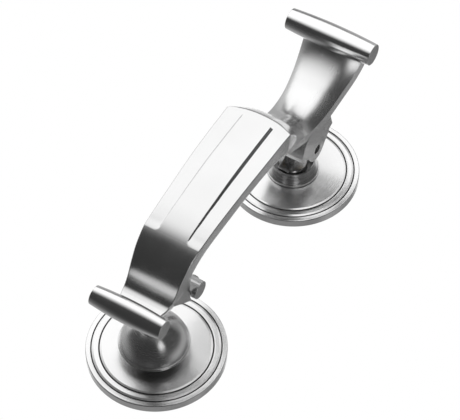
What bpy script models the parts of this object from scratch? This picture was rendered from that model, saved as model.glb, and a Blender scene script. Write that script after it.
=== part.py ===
"""Doctor's-pattern door knocker, modelled as it hangs on a door.

Frame: metres, +Z up the door, the front faces -Y, +X to the right. The door's face is the plane y = 0 and the
origin is the centre of the upper rose's back. In the tables below a point is written (rise, out) or
(rise, out, half width) in millimetres: rise is the height above the lower rose's centre, out is the distance
from the door's face.
"""

import math

import bmesh
import bpy
from mathutils import Matrix, Vector

MM = 0.001

# Driving dimensions, in millimetres
CENTRES = 126.0          # between the two fixing centres
GAP = 0.3                # left between pieces that touch
ROSE_R = 33.5
ROSE_RIM = 4.7           # height of the ringed border above the door
ROSE_DECK = 5.2          # height of the plain middle
ROSE_HOLLOW = 3.2        # depth of the hollow back
GROOVES = (0.915, 0.815)  # middles of the turned grooves, as shares of the rose's radius
GROOVE_HALF = 0.5
SHANK_R = 4.0            # threaded tails that clamp each rose
TAPPED_R = 2.1           # tapped hole in each tail, for the bolt that comes through the door
TAPPED_DEPTH = 6.6
TAPPED_TIP = 1.0
HAMMER_RISE = -1.6       # the hammer's axis is midway between the foot's two bars
HAMMER_R = 16.75
HAMMER_CENTRE_OUT = 9.6  # centre of the ball that the hammer's head is half of
HAMMER_FACE_OUT = 10.2
HAMMER_SEAT_R = 7.2      # flat on top of the head, under the stem's flare
STEM_R = 6.4
STEM_TOP_OUT = 47.0
HAMMER_BOLT_R = 3.0
STRIKE_PLATE_R = 8.0
PIN_RISE = 128.8
PIN_OUT = 24.4
PIN_R = 1.8
PIN_LENGTH = 17.6
CHEEK_OUTER = 12.0
CHEEK_INNER = 4.4
TONGUE_HALF = 3.0
TONGUE_FOOT_HALF = 9.6
TONGUE_FOOT_OUT = 14.8
EYE_R = 6.0
STRIP_DEPTH = 1.3        # how far the two side strips are sunk in the panel
CROWN = 4.6              # height of the neck's rounded front above its edges
SCREW_HEAD_R = 2.6
SCREW_SHANK_R = 1.3

# Cross-bars: (rise, out) of the axis, half length, radius at the ends and in the middle
TOP_BAR = ((160.5, 70.0), 23.3, 5.5, 6.4)
LOWER_BAR = ((-19.4, 56.0), 18.7, 4.75, 5.7)
REAR_BAR = ((16.3, 41.2), 15.0, 4.6, 4.8)

# Panel and strap: front line, from the foot's tip up to the panel's end
FRONT = [
    (-18.6, 50.6, 10.6), (-10.0, 50.7, 11.0), (-5.2, 50.6, 11.9), (-2.4, 51.4, 12.5), (0.0, 54.3, 12.9),
    (3.6, 60.0, 13.4), (9.2, 66.2, 14.1), (17.3, 70.8, 14.8), (27.0, 73.2, 15.1), (41.0, 75.0, 15.6),
    (58.0, 76.8, 16.3), (74.5, 77.4, 16.8), (86.0, 77.5, 17.0), (87.6, 77.5, 17.0), (88.2, 77.5, 17.1),
    (92.0, 77.5, 17.2),
]
# The same stations on the back
BACK = [
    (-18.2, 47.4, 10.3), (-10.0, 47.3, 10.8), (-5.0, 47.3, 11.6), (-1.0, 47.6, 12.2), (3.0, 48.6, 12.6),
    (7.5, 51.5, 13.0), (13.2, 57.0, 13.6), (20.0, 61.6, 14.3), (28.2, 63.4, 14.6), (41.5, 65.0, 15.1),
    (58.0, 66.6, 15.8), (74.5, 66.4, 16.3), (86.0, 64.2, 16.5), (87.6, 63.8, 16.5), (88.2, 63.7, 16.6),
    (92.0, 62.6, 16.7),
]
PANEL_NOSE = 5.6         # how far the panel's rounded end stands past its last station
PANEL_ARCH = 3.0         # how much further the end reaches in the middle of its width, along its front edge
NOSE_ARCH = 7.0          # and along its top
NOSE_TOP_OUT = 65.5      # how far out of the door that top lies
STRIP_START, STRIP_END = 16.3, 88.0
RAISED_HALF = 7.2        # half width of the raised middle of the panel, which ends at STRIP_END
RAISED_SLOPE = 1.0

# The foot's heel, seen from the side
HEEL = [
    (-2.0, 48.5), (4.8, 42.4), (12.6, 35.8), (11.5, 40.0), (11.1, 45.0), (11.3, 51.0), (13.6, 56.4),
    (14.0, 61.0), (7.0, 60.0), (2.0, 53.0),
]
HEEL_HALF = 12.7
FOOT_BOSS_R = 8.4         # round boss under the foot that holds the hammer
FOOT_BOSS_OUT = 38.6

# Neck: front edge line and the back line, from inside the panel to the curled tip behind the top bar
NECK_FRONT = [
    (84.0, 70.0, 11.9), (95.0, 66.6, 12.0), (103.0, 60.5, 12.0), (110.5, 52.6, 12.0), (118.5, 46.4, 12.0),
    (127.5, 44.3, 12.2), (137.5, 44.9, 12.8), (147.0, 48.6, 13.8), (155.5, 53.5, 15.2), (161.8, 59.0, 16.2),
    (164.6, 64.0, 16.4), (164.6, 69.0, 16.2),
]
NECK_BACK = [
    (84.0, 65.0, 11.6), (90.0, 59.0, 11.7), (97.0, 52.4, 11.7), (106.0, 46.9, 11.7), (116.0, 42.2, 11.7),
    (127.5, 38.4, 11.9), (139.0, 38.4, 12.4), (150.0, 41.8, 13.3), (160.5, 47.4, 14.8), (167.6, 54.4, 15.9),
    (170.0, 62.0, 16.2), (168.2, 69.4, 16.0),
]

# Hinge cheeks, seen from the side: down the front, round the pin, and up behind
CHEEK_FRONT = [
    (119.4, 42.0), (116.8, 39.4), (115.2, 36.2), (114.5, 32.0), (115.0, 27.4), (119.0, 26.2), (121.4, 23.2),
]
CHEEK_BACK = [(136.4, 22.8), (139.2, 26.0), (140.6, 28.6), (143.6, 29.8), (141.2, 38.1), (137.5, 41.4)]
CHEEK_ROUND_R = 7.0

PIVOT = Vector((0.0, -PIN_OUT * MM, (PIN_RISE - CENTRES) * MM))


# Materials: (colour, roughness)
FINISHES = {
    "satin_chrome": ((0.72, 0.73, 0.74), 0.24),
    "satin_chrome_turned": ((0.66, 0.67, 0.68), 0.2),
    "steel": ((0.55, 0.55, 0.55), 0.35),
    "brass": ((0.72, 0.55, 0.28), 0.35),
}


def clear_scene():
    for thing in list(bpy.data.objects):
        bpy.data.objects.remove(thing, do_unlink=True)


def material(name):
    found = bpy.data.materials.get(name)
    if found:
        return found
    colour, roughness = FINISHES[name]
    made = bpy.data.materials.new(name)
    made.use_nodes = True
    shader = made.node_tree.nodes["Principled BSDF"]
    shader.inputs["Base Color"].default_value = (*colour, 1.0)
    shader.inputs["Roughness"].default_value = roughness
    shader.inputs["Metallic"].default_value = 1.0
    return made


def add_object(name, mesh, finish, parent=None):
    thing = bpy.data.objects.new(name, mesh)
    bpy.context.scene.collection.objects.link(thing)
    mesh.materials.append(material(finish))
    thing.parent = parent
    return thing


def finish_mesh(name, bm, smooth_angle=35.0):
    """Close the edit: normals out, and smooth shading with sharp edges kept."""
    bmesh.ops.recalc_face_normals(bm, faces=bm.faces)
    mesh = bpy.data.meshes.new(name)
    bm.to_mesh(mesh)
    bm.free()
    mesh.shade_smooth()
    mesh.set_sharp_from_angle(angle=math.radians(smooth_angle))
    return mesh


def as_cutter(thing):
    thing.hide_render = True
    thing.display_type = "WIRE"
    return thing


def boolean(target, other, operation, solver="EXACT"):
    modifier = target.modifiers.new(f"{operation.lower()}_{other.name}", "BOOLEAN")
    modifier.operation = operation
    modifier.solver = solver
    modifier.object = as_cutter(other)


def turned_mesh(name, profile, segments=48):
    """Solid of revolution about local Z. The profile is a closed loop of (radius, height) in millimetres;
    points at radius 0 lie on the axis."""
    bm = bmesh.new()
    rings = []
    for radius, height in profile:
        if radius < 1e-6:
            rings.append([bm.verts.new((0.0, 0.0, height * MM))])
            continue
        ring = []
        for i in range(segments):
            angle = 2 * math.pi * i / segments
            ring.append(bm.verts.new((radius * MM * math.cos(angle), radius * MM * math.sin(angle), height * MM)))
        rings.append(ring)
    for lower, upper in zip(rings, rings[1:] + rings[:1]):
        if len(lower) == 1 and len(upper) == 1:
            continue
        for i in range(segments):
            j = (i + 1) % segments
            corners = [lower[i % len(lower)], lower[j % len(lower)], upper[j % len(upper)], upper[i % len(upper)]]
            bm.faces.new(list(dict.fromkeys(corners)))
    return finish_mesh(name, bm)


def place_on_door(thing, rise):
    """Turn a lathe piece so that its local Z points out of the door, on the fixing centre at this rise."""
    thing.rotation_euler = (math.radians(90), 0, 0)
    thing.location = (0, 0, (rise - CENTRES) * MM)


def on_arm(x, rise, out):
    """A point of the arm, from the pivot."""
    return Vector((x * MM, -(out - PIN_OUT) * MM, (rise - PIN_RISE) * MM))


def side_prism(name, outline, half_width):
    """Solid between x = -half_width and +half_width whose side view is the outline of (rise, out)."""
    bm = bmesh.new()
    left = [bm.verts.new(on_arm(-half_width, *point)) for point in outline]
    right = [bm.verts.new(on_arm(half_width, *point)) for point in outline]
    bm.faces.new(left)
    bm.faces.new(right[::-1])
    for i in range(len(outline)):
        j = (i + 1) % len(outline)
        bm.faces.new([left[i], left[j], right[j], right[i]])
    bmesh.ops.triangulate(bm, faces=[f for f in bm.faces if len(f.verts) > 4])
    return finish_mesh(name, bm)


def smooth_line(points, steps):
    """Catmull-Rom curve through the points, with a number of steps between each pair."""
    padded = [[2 * a - b for a, b in zip(points[0], points[1])], *points]
    padded.append([2 * a - b for a, b in zip(points[-1], points[-2])])
    line = []
    for p0, p1, p2, p3 in zip(padded, padded[1:], padded[2:], padded[3:]):
        for step in range(steps):
            t = step / steps
            line.append(tuple(
                0.5 * (2 * b + (c - a) * t + (2 * a - 5 * b + 4 * c - d) * t * t + (3 * b - a - 3 * c + d) * t ** 3)
                for a, b, c, d in zip(p0, p1, p2, p3)
            ))
    return [*line, tuple(points[-1])]


def bridge_sections(name, sections):
    """Closed skin over a row of sections, each a loop of points from the pivot."""
    bm = bmesh.new()
    loops = [[bm.verts.new(point) for point in section] for section in sections]
    count = len(loops[0])
    for lower, upper in zip(loops, loops[1:]):
        for i in range(count):
            j = (i + 1) % count
            bm.faces.new([lower[i], lower[j], upper[j], upper[i]])
    for end in (loops[0], loops[-1]):
        bmesh.ops.triangulate(bm, faces=[bm.faces.new(end)])
    return finish_mesh(name, bm)


def strip_depth(rise):
    """The side strips' depth at this rise: they run out into the strap at the lower end."""
    return STRIP_DEPTH * min(max((rise - STRIP_START) / 4.0, 0.0), 1.0)


def panel_mesh():
    """The panel and strap: one section for each station, with the side strips sunk below the middle."""
    front = smooth_line(FRONT, 2)
    back = smooth_line(BACK, 2)
    stations = len(front)
    last_front, last_back = front[-1], back[-1]
    end_depth = last_front[1] - STRIP_DEPTH - NOSE_TOP_OUT
    back_depth = NOSE_TOP_OUT - last_back[1]
    start = math.radians(35)
    for degrees in (48, 60, 72, 83):
        angle = math.radians(degrees)
        share = (math.sin(angle) - math.sin(start)) / (1 - math.sin(start))
        depth = math.cos(angle) / math.cos(start)
        rise = last_front[0] + PANEL_NOSE * share
        front.append((rise, NOSE_TOP_OUT + end_depth * depth, last_front[2] - 0.5 * share))
        back.append((rise, NOSE_TOP_OUT - back_depth * depth, last_back[2] - 0.3 * share))
    sections = []
    for i, (near, far) in enumerate(zip(front, back)):
        before, after = front[max(i - 1, 0)], front[min(i + 1, len(front) - 1)]
        along = Vector((after[0] - before[0], after[1] - before[1])).normalized()
        inward = Vector((along.y, -along.x))
        width = near[2]
        sunk = strip_depth(near[0]) if i < stations else 0.0
        reach = min(max((near[0] - 80.0) / 12.0, 0.0), 1.0) * PANEL_ARCH
        reach += max(near[0] - last_front[0], 0.0) / PANEL_NOSE * (NOSE_ARCH - PANEL_ARCH)
        loop = []
        raised, foot = RAISED_HALF, RAISED_HALF + RAISED_SLOPE
        for x in (-width, -0.78 * width, -foot, -raised, 0.0, raised, foot, 0.78 * width, width):
            drop = 0.0 if abs(x) < raised + 0.01 and near[0] < STRIP_END else sunk
            arch = reach * (1 - (x / width) ** 2)
            loop.append(on_arm(x, near[0] + inward.x * drop + arch, near[1] + inward.y * drop))
        for share in (1.0, 0.75, 0.4, 0.0, -0.4, -0.75, -1.0):
            arch = reach * (1 - share ** 2)
            loop.append(on_arm(share * far[2], far[0] + arch, far[1]))
        sections.append(loop)
    return bridge_sections("panel", sections)


def neck_mesh():
    """The neck: flat behind, and its front rounded from edge to edge."""
    front = smooth_line(NECK_FRONT, 2)
    back = smooth_line(NECK_BACK, 2)
    sections = []
    for i, (near, far) in enumerate(zip(front, back)):
        before, after = front[max(i - 1, 0)], front[min(i + 1, len(front) - 1)]
        along = Vector((after[0] - before[0], after[1] - before[1])).normalized()
        outward = Vector((-along.y, along.x))
        loop = []
        for share in (-1.0, -0.75, -0.5, -0.25, 0.0, 0.25, 0.5, 0.75, 1.0):
            lift = CROWN * (1 - share ** 2)
            loop.append(on_arm(share * near[2], near[0] + outward.x * lift, near[1] + outward.y * lift))
        for share in (1.0, 0.35, -0.35, -1.0):
            loop.append(on_arm(share * far[2], far[0], far[1]))
        sections.append(loop)
    return bridge_sections("neck", sections)


def cheek_outline():
    """Side view of the hinge cheeks, with the round end about the pin as an arc."""
    arc = []
    for degrees in range(205, 326, 15):
        angle = math.radians(degrees)
        arc.append((PIN_RISE + CHEEK_ROUND_R * math.cos(angle), PIN_OUT + CHEEK_ROUND_R * math.sin(angle)))
    return [*CHEEK_FRONT, *arc, *CHEEK_BACK]


def bar_profile(half_length, end_r, middle_r, grow=0.0):
    """Barrel profile along the bar's axis, from end to end, with eased edges."""
    ease = 0.0 if grow else 0.35
    profile = [(0.0, -half_length - grow), (end_r + grow - ease, -half_length - grow)]
    for share in (-1.0, -0.75, -0.5, -0.25, 0.0, 0.25, 0.5, 0.75, 1.0):
        radius = end_r + (middle_r - end_r) * (1 - share ** 2) + grow
        profile.append((radius, share * (half_length + grow - ease)))
    return [*profile, (end_r + grow - ease, half_length + grow), (0.0, half_length + grow)]


def place_bar(thing, bar):
    thing.rotation_euler = (0, math.radians(90), 0)
    thing.location = on_arm(0, *bar[0])


def cylinder_between(name, start, end, radius, parent, segments=16):
    """Cylinder used as a cutter, between two points from the pivot; radius in millimetres."""
    direction = end - start
    bm = bmesh.new()
    turn = direction.to_track_quat("Z", "Y").to_matrix().to_4x4()
    bmesh.ops.create_cone(
        bm, cap_ends=True, segments=segments, radius1=radius * MM, radius2=radius * MM, depth=direction.length,
        matrix=Matrix.Translation((start + end) / 2) @ turn,
    )
    thing = add_object(name, finish_mesh(name, bm), "steel", parent)
    return as_cutter(thing)


def screw_profile(length, grow=0.0):
    """Countersunk screw along local +Z, its head's face at 0; grow makes the hole that it sits in."""
    head, shank = SCREW_HEAD_R + grow, SCREW_SHANK_R + grow
    top = -1.5 if grow else 0.0
    return [(0.0, top), (head, top), (head, 0.35), (shank, 1.65), (shank, length + grow), (0.0, length + grow)]


def add_screw(name, start, direction, length, arm, hosts):
    """A countersunk screw in the arm with its hole cut through the pieces that it holds."""
    turn = direction.to_track_quat("Z", "Y")
    hole = add_object(f"{name}_hole", turned_mesh(f"{name}_hole", screw_profile(length, GAP), 16), "steel", arm)
    screw = add_object(name, turned_mesh(name, screw_profile(length), 16), "steel", arm)
    slot_size = Vector((2 * SCREW_HEAD_R + 1, 0.7, 1.2)) * MM
    slot = add_object(f"{name}_slot", box_mesh(f"{name}_slot", slot_size), "steel", arm)
    for thing in (hole, screw, slot):
        thing.rotation_mode = "QUATERNION"
        thing.rotation_quaternion = turn
        thing.location = start
    boolean(screw, slot, "DIFFERENCE")
    for host in hosts:
        boolean(host, hole, "DIFFERENCE")


def box_mesh(name, size):
    bm = bmesh.new()
    bmesh.ops.create_cube(bm, size=1.0, matrix=Matrix.Diagonal((*size, 1.0)))
    return finish_mesh(name, bm)


def rose_profile():
    rim, deck = ROSE_RIM, ROSE_DECK
    inner = ROSE_R - 3.2
    profile = [(inner, 0.0), (ROSE_R - 0.3, 0.0), (ROSE_R, 0.3), (ROSE_R, rim - 0.6), (ROSE_R - 0.6, rim)]
    for share in GROOVES:
        middle = share * ROSE_R
        profile += [(middle + GROOVE_HALF, rim), (middle, rim - GROOVE_HALF), (middle - GROOVE_HALF, rim)]
    profile += [(0.77 * ROSE_R, deck), (SHANK_R + GAP, deck), (SHANK_R + GAP, ROSE_HOLLOW)]
    return [*profile, (inner - 0.8, ROSE_HOLLOW), (inner, ROSE_HOLLOW - 0.8)]


def add_rose(prefix, rise):
    """Rose, with the washer and thin hexagon nut that clamp it from behind."""
    rose = add_object(f"{prefix}_rose", turned_mesh(f"{prefix}_rose", rose_profile(), 48), "satin_chrome_turned")
    hole = SHANK_R + GAP
    washer_top = ROSE_HOLLOW - GAP
    washer_profile = [(hole, washer_top - 1.0), (9.5, washer_top - 1.0), (9.5, washer_top), (hole, washer_top)]
    washer = add_object(f"{prefix}_washer", turned_mesh(f"{prefix}_washer", washer_profile, 32), "steel")
    nut_top = washer_top - 1.0 - GAP
    nut_profile = [(0.0, 0.1), (7.5, 0.1), (7.5, nut_top), (0.0, nut_top)]
    nut = add_object(f"{prefix}_nut", turned_mesh(f"{prefix}_nut", nut_profile, 6), "brass")
    bore_profile = [(0.0, -1.0), (hole, -1.0), (hole, 3.0), (0.0, 3.0)]
    bore = add_object(f"{prefix}_nut_bore", turned_mesh(f"{prefix}_nut_bore", bore_profile, 24), "steel")
    boolean(nut, bore, "DIFFERENCE")
    for thing in (rose, washer, nut, bore):
        place_on_door(thing, rise)


def tail_profile(shoulder_out):
    """Threaded tail with its tapped hole, from the bottom of the hole round to the shoulder."""
    return [
        (0.0, TAPPED_DEPTH + TAPPED_TIP), (TAPPED_R, TAPPED_DEPTH), (TAPPED_R, 0.2), (SHANK_R - 0.4, 0.2),
        (SHANK_R, 0.6), (SHANK_R, shoulder_out),
    ]


def add_hinge_post():
    floor_r = SHANK_R + GAP
    base = ROSE_DECK + GAP
    profile = [
        (floor_r, base), (13.0, base), (13.2, base + 0.2), (13.2, base + 0.7), (12.9, base + 0.9),
        (12.5, base + 1.0), (11.0, 11.8), (11.2, 12.2), (11.2, 12.6), (11.0, 12.8), (10.5, 12.8), (10.4, 12.6),
        (10.4, 8.1), (9.8, 7.5), (floor_r, 7.5),
    ]
    post = add_object("hinge_post", turned_mesh("hinge_post", profile, 40), "satin_chrome_turned")
    place_on_door(post, CENTRES)


def add_hinge_tongue():
    """Flat eye on a broad foot across the post's cup, above a round flange and a threaded tail."""
    shoulder = 7.5 + GAP
    profile = [*tail_profile(shoulder), (7.5, shoulder), (7.5, 10.2), (6.9, 10.8), (0.0, 10.8)]
    tongue = add_object("hinge_tongue", turned_mesh("hinge_tongue", profile, 28), "satin_chrome_turned")
    place_on_door(tongue, CENTRES)
    low, high, top = CENTRES - TONGUE_FOOT_HALF, CENTRES + TONGUE_FOOT_HALF, TONGUE_FOOT_OUT
    outline = [(122.6, top + 1.2), (121.4, top), (low, top), (low, 9.4), (high, 9.4), (high, top),
               (134.4, top + 1.2)]
    for degrees in range(-20, 201, 20):
        angle = math.radians(degrees)
        outline.append((PIN_RISE + EYE_R * math.cos(angle), PIN_OUT + EYE_R * math.sin(angle)))
    blade = add_object("tongue_blade", side_prism("tongue_blade", outline, TONGUE_HALF), "satin_chrome_turned")
    blade.location = PIVOT
    boolean(tongue, blade, "UNION", "MANIFOLD")
    pin_hole = cylinder_between("tongue_pin_hole", on_arm(-9, PIN_RISE, PIN_OUT), on_arm(9, PIN_RISE, PIN_OUT),
                                PIN_R + GAP, None, 24)
    grub_hole = cylinder_between("grub_hole", on_arm(0, PIN_RISE + 1.0, PIN_OUT), on_arm(0, PIN_RISE + 9, PIN_OUT),
                                 1.2 + GAP, None, 12)
    for hole in (pin_hole, grub_hole):
        hole.location = PIVOT
        boolean(tongue, hole, "DIFFERENCE", "MANIFOLD")


def add_hinge_pin():
    """Cross pin, the grub screw that locks it in the tongue, and a thin washer on each side of the tongue."""
    half = PIN_LENGTH / 2
    profile = [(0.0, -half), (PIN_R - 0.3, -half), (PIN_R, 0.3 - half), (PIN_R, half - 0.3), (PIN_R - 0.3, half),
               (0.0, half)]
    pin = add_object("pivot_pin", turned_mesh("pivot_pin", profile, 24), "steel")
    pin.rotation_euler = (0, math.radians(90), 0)
    pin.location = PIVOT
    grub_profile = [(0.0, PIN_R + GAP), (1.2, PIN_R + GAP), (1.2, 5.4), (0.7, 5.4), (0.7, 4.4), (0.0, 4.4)]
    grub = add_object("pin_grub_screw", turned_mesh("pin_grub_screw", grub_profile, 12), "steel")
    grub.location = PIVOT
    for side, sign in (("left", -1), ("right", 1)):
        name = f"side_washer_{side}"
        inner, outer = TONGUE_HALF + GAP, CHEEK_INNER - GAP
        washer_profile = [(PIN_R + GAP, inner), (5.2, inner), (5.2, outer), (PIN_R + GAP, outer)]
        washer = add_object(name, turned_mesh(name, washer_profile, 24), "brass")
        washer.rotation_euler = (0, math.radians(90 * sign), 0)
        washer.location = PIVOT


def add_strike_plate():
    """Low mushroom on the lower rose that the hammer knocks on."""
    shoulder = ROSE_DECK + GAP
    top = HAMMER_FACE_OUT - GAP
    profile = [*tail_profile(shoulder), (STRIKE_PLATE_R, shoulder), (STRIKE_PLATE_R, top - 0.8),
               (STRIKE_PLATE_R - 0.8, top), (0.0, top)]
    plate = add_object("strike_plate", turned_mesh("strike_plate", profile, 28), "satin_chrome_turned")
    place_on_door(plate, 0)


def hammer_head_profile():
    """Half ball with a band round its lower edge, bored for its bolt and counterbored for the bolt's head."""
    bore = HAMMER_BOLT_R + GAP
    face, centre = HAMMER_FACE_OUT, HAMMER_CENTRE_OUT
    head_r, head_depth = 6.8, 3.4
    band_top = face + 2.1
    profile = [(bore, face + head_depth), (head_r, face + head_depth), (head_r, face),
               (HAMMER_R - 0.1, face), (HAMMER_R + 0.25, face + 0.35), (HAMMER_R + 0.25, band_top - 0.3)]
    start = math.asin((band_top + 0.1 - centre) / HAMMER_R)
    end = math.acos(HAMMER_SEAT_R / HAMMER_R)
    steps = 9
    for i in range(steps + 1):
        angle = start + (end - start) * i / steps
        profile.append((HAMMER_R * math.cos(angle), centre + HAMMER_R * math.sin(angle)))
    return [*profile, (bore, centre + HAMMER_R * math.sin(end))]


def add_hammer(pivot):
    """Head, stem and bolt: the bolt comes up through both into the foot."""
    bore = HAMMER_BOLT_R + GAP
    seat = HAMMER_CENTRE_OUT + HAMMER_R * math.sin(math.acos(HAMMER_SEAT_R / HAMMER_R)) + GAP
    stem_profile = [(bore, seat), (HAMMER_SEAT_R, seat), (HAMMER_SEAT_R, seat + 0.3)]
    flare = HAMMER_SEAT_R - STEM_R
    for degrees in (20, 40, 65, 90):
        angle = math.radians(degrees)
        stem_profile.append((STEM_R + flare * (1 - math.sin(angle)), seat + 0.3 + 1.2 * (1 - math.cos(angle))))
    stem_profile += [(STEM_R, STEM_TOP_OUT), (bore, STEM_TOP_OUT)]
    bolt_head = HAMMER_FACE_OUT + 0.3
    bolt_profile = [(0.0, bolt_head), (5.9, bolt_head), (6.4, bolt_head + 0.5), (6.4, 13.3), (HAMMER_BOLT_R, 13.3),
                    (HAMMER_BOLT_R, STEM_TOP_OUT + 2.4), (0.0, STEM_TOP_OUT + 2.4)]
    pieces = (
        ("hammer_head", hammer_head_profile(), 40, "satin_chrome_turned"),
        ("hammer_stem", stem_profile, 28, "satin_chrome_turned"),
        ("hammer_bolt", bolt_profile, 20, "steel"),
    )
    for name, profile, segments, finish in pieces:
        piece = add_object(name, turned_mesh(name, profile, segments), finish)
        place_on_door(piece, HAMMER_RISE)
        piece.parent = pivot
        piece.location = piece.location - PIVOT


def add_arm():
    pivot = bpy.data.objects.new("arm_pivot", None)
    pivot.location = PIVOT
    bpy.context.scene.collection.objects.link(pivot)

    arm = add_object("arm_casting", panel_mesh(), "satin_chrome", pivot)
    for name, mesh in (
        ("neck", neck_mesh()),
        ("heel", side_prism("heel", HEEL, HEEL_HALF)),
        ("cheeks", side_prism("cheeks", cheek_outline(), CHEEK_OUTER)),
    ):
        boolean(arm, add_object(name, mesh, "satin_chrome", pivot), "UNION")

    slot_outline = [(121.5, 5.0), (121.5, 30.0), (124.0, 32.6), (150.0, 32.6), (150.0, 5.0)]
    slot = add_object("tongue_slot", side_prism("tongue_slot", slot_outline, CHEEK_INNER), "steel", pivot)
    boolean(arm, slot, "DIFFERENCE")
    centre = Vector((0, 0, 0))
    reach = Vector((20 * MM, 0, 0))
    boolean(arm, cylinder_between("cheek_pin_hole", centre - reach, centre + reach, PIN_R + GAP, pivot, 24),
            "DIFFERENCE")

    bars = {}
    for name, bar in (("top_bar", TOP_BAR), ("lower_bar", LOWER_BAR), ("rear_bar", REAR_BAR)):
        mesh = turned_mesh(name, bar_profile(*bar[1:]), 32)
        bars[name] = add_object(name, mesh, "satin_chrome_turned", pivot)
        seat_mesh = turned_mesh(f"{name}_seat", bar_profile(*bar[1:], grow=GAP), 32)
        seat = add_object(f"{name}_seat", seat_mesh, "steel", pivot)
        place_bar(bars[name], bar)
        place_bar(seat, bar)
        boolean(arm, seat, "DIFFERENCE")

    socket = cylinder_between("stem_socket", on_arm(0, HAMMER_RISE, STEM_TOP_OUT - 14),
                              on_arm(0, HAMMER_RISE, STEM_TOP_OUT + GAP), STEM_R + GAP, pivot, 28)
    thread = cylinder_between("bolt_thread", on_arm(0, HAMMER_RISE, STEM_TOP_OUT - 5),
                              on_arm(0, HAMMER_RISE, STEM_TOP_OUT + 2.4 + GAP), HAMMER_BOLT_R + GAP, pivot, 20)
    boss = cylinder_between("foot_boss", on_arm(0, HAMMER_RISE, FOOT_BOSS_OUT), on_arm(0, HAMMER_RISE, 49.0),
                            FOOT_BOSS_R, pivot, 28)
    boolean(arm, boss, "UNION")
    boolean(arm, socket, "DIFFERENCE")
    boolean(arm, thread, "DIFFERENCE")
    add_hammer(pivot)

    for side, sign in (("left", -1), ("right", 1)):
        add_screw(f"lower_bar_screw_{side}", on_arm(7.0 * sign, -14.6, 47.9), Vector((0, -1, -0.55)), 7.6, pivot,
                  (arm, bars["lower_bar"]))
        add_screw(f"top_bar_screw_{side}", on_arm(8.0 * sign, 168.6, 61.3), Vector((0, -1, -1)), 9.4, pivot,
                  (arm, bars["top_bar"]))
        add_screw(f"rear_bar_screw_{side}", on_arm(9.3 * sign, 20.9, 41.2), Vector((0, 0, -1)), 9.4, pivot,
                  (arm, bars["rear_bar"]))


def main():
    clear_scene()
    add_rose("upper", CENTRES)
    add_rose("lower", 0.0)
    add_hinge_post()
    add_hinge_tongue()
    add_hinge_pin()
    add_strike_plate()
    add_arm()


main()
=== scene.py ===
"""Looks of a doctor's-pattern door knocker in satin chrome.

The tables below give points as (rise, out) or (rise, out, half width) in millimetres: rise is the
height above the lower rose's centre and out is the distance from the door's face.
"""

import math

import bmesh
import bpy
from mathutils import Matrix, Vector


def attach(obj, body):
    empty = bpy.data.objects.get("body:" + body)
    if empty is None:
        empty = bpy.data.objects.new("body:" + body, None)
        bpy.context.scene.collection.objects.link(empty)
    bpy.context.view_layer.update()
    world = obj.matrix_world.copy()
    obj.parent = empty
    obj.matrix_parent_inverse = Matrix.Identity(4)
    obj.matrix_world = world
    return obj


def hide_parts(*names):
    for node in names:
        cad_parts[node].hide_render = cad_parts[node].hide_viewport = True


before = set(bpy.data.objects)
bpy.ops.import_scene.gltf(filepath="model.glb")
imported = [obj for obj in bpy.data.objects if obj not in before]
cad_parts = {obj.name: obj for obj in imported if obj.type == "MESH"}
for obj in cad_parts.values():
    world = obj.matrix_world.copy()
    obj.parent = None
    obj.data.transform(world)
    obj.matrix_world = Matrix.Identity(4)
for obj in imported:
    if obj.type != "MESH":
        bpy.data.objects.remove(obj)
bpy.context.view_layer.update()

MM = 0.001
CENTRES = 126.0
ROSE_R = 33.5
ROSE_RIM = 4.7
ROSE_DECK = 5.2
HAMMER_RISE = -1.6
HAMMER_R = 16.75
HAMMER_CENTRE_OUT = 9.6
HAMMER_FACE_OUT = 10.2
HAMMER_LIP = 0.25
STEM_R = 6.4
STEM_END = 46.8
PIN_RISE, PIN_OUT, PIN_R = 128.8, 24.4, 1.8
TONGUE_HALF = 3.0
TONGUE_FOOT = (116.4, 135.6, 14.8)      # lowest rise, highest rise, out
EYE_R = 6.0
CHEEK_INNER, CHEEK_OUTER = 4.4, 12.0
HEEL_HALF = 12.6

# (radius, out) of the round tails behind the roses, each with a tapped hole
TAIL = [(0.0, 7.6), (2.1, 6.6, 0), (2.1, 0.2, 0.1), (3.6, 0.2, 0), (4.0, 0.6, 0)]

# ((rise, out) of the centre, half length, radius at the ends, radius in the middle)
TOP_BAR = ((160.5, 70.0), 23.3, 5.5, 6.4)
LOWER_BAR = ((-19.4, 56.0), 18.7, 4.75, 5.7)
REAR_BAR = ((16.3, 41.2), 15.0, 4.6, 4.8)

PANEL_FRONT = [
    (-18.6, 50.6, 10.6), (-11.0, 50.7, 11.1), (-7.6, 50.7, 11.9), (-4.5, 51.5, 12.5), (-1.3, 54.4, 12.9),
    (3.0, 60.4, 13.4), (8.7, 66.2, 14.1), (17.1, 70.9, 14.8), (27.0, 73.2, 15.1), (41.0, 75.0, 15.6),
    (58.0, 76.8, 16.3), (74.5, 77.4, 16.8), (86.0, 77.5, 17.0), (92.0, 77.4, 17.2),
]
PANEL_BACK = [
    (-18.2, 47.4, 10.3), (-11.0, 47.3, 10.8), (-7.0, 47.3, 11.6), (-2.8, 47.6, 12.2), (1.4, 48.6, 12.6),
    (6.3, 51.5, 13.0), (12.5, 57.0, 13.5), (19.8, 61.6, 14.1), (28.2, 63.4, 14.4), (41.5, 65.0, 14.9),
    (58.0, 66.6, 15.5), (74.5, 66.4, 15.9), (86.0, 64.2, 16.1), (92.0, 62.6, 16.3),
]
PANEL_HALF = PANEL_FRONT[-1][2]
FRONT_EDGE_R = 0.6
BACK_EDGE_R = 0.9

# The raised middle of the panel's front, between two sunk strips
RAISED_HALF = 7.2
RAISED_SLOPE = 1.7
RAISED_END = 87.8
RAISED_END_RUN = 0.6
STRIP_START = 16.3
STRIP_DEPTH = 1.55

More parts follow.
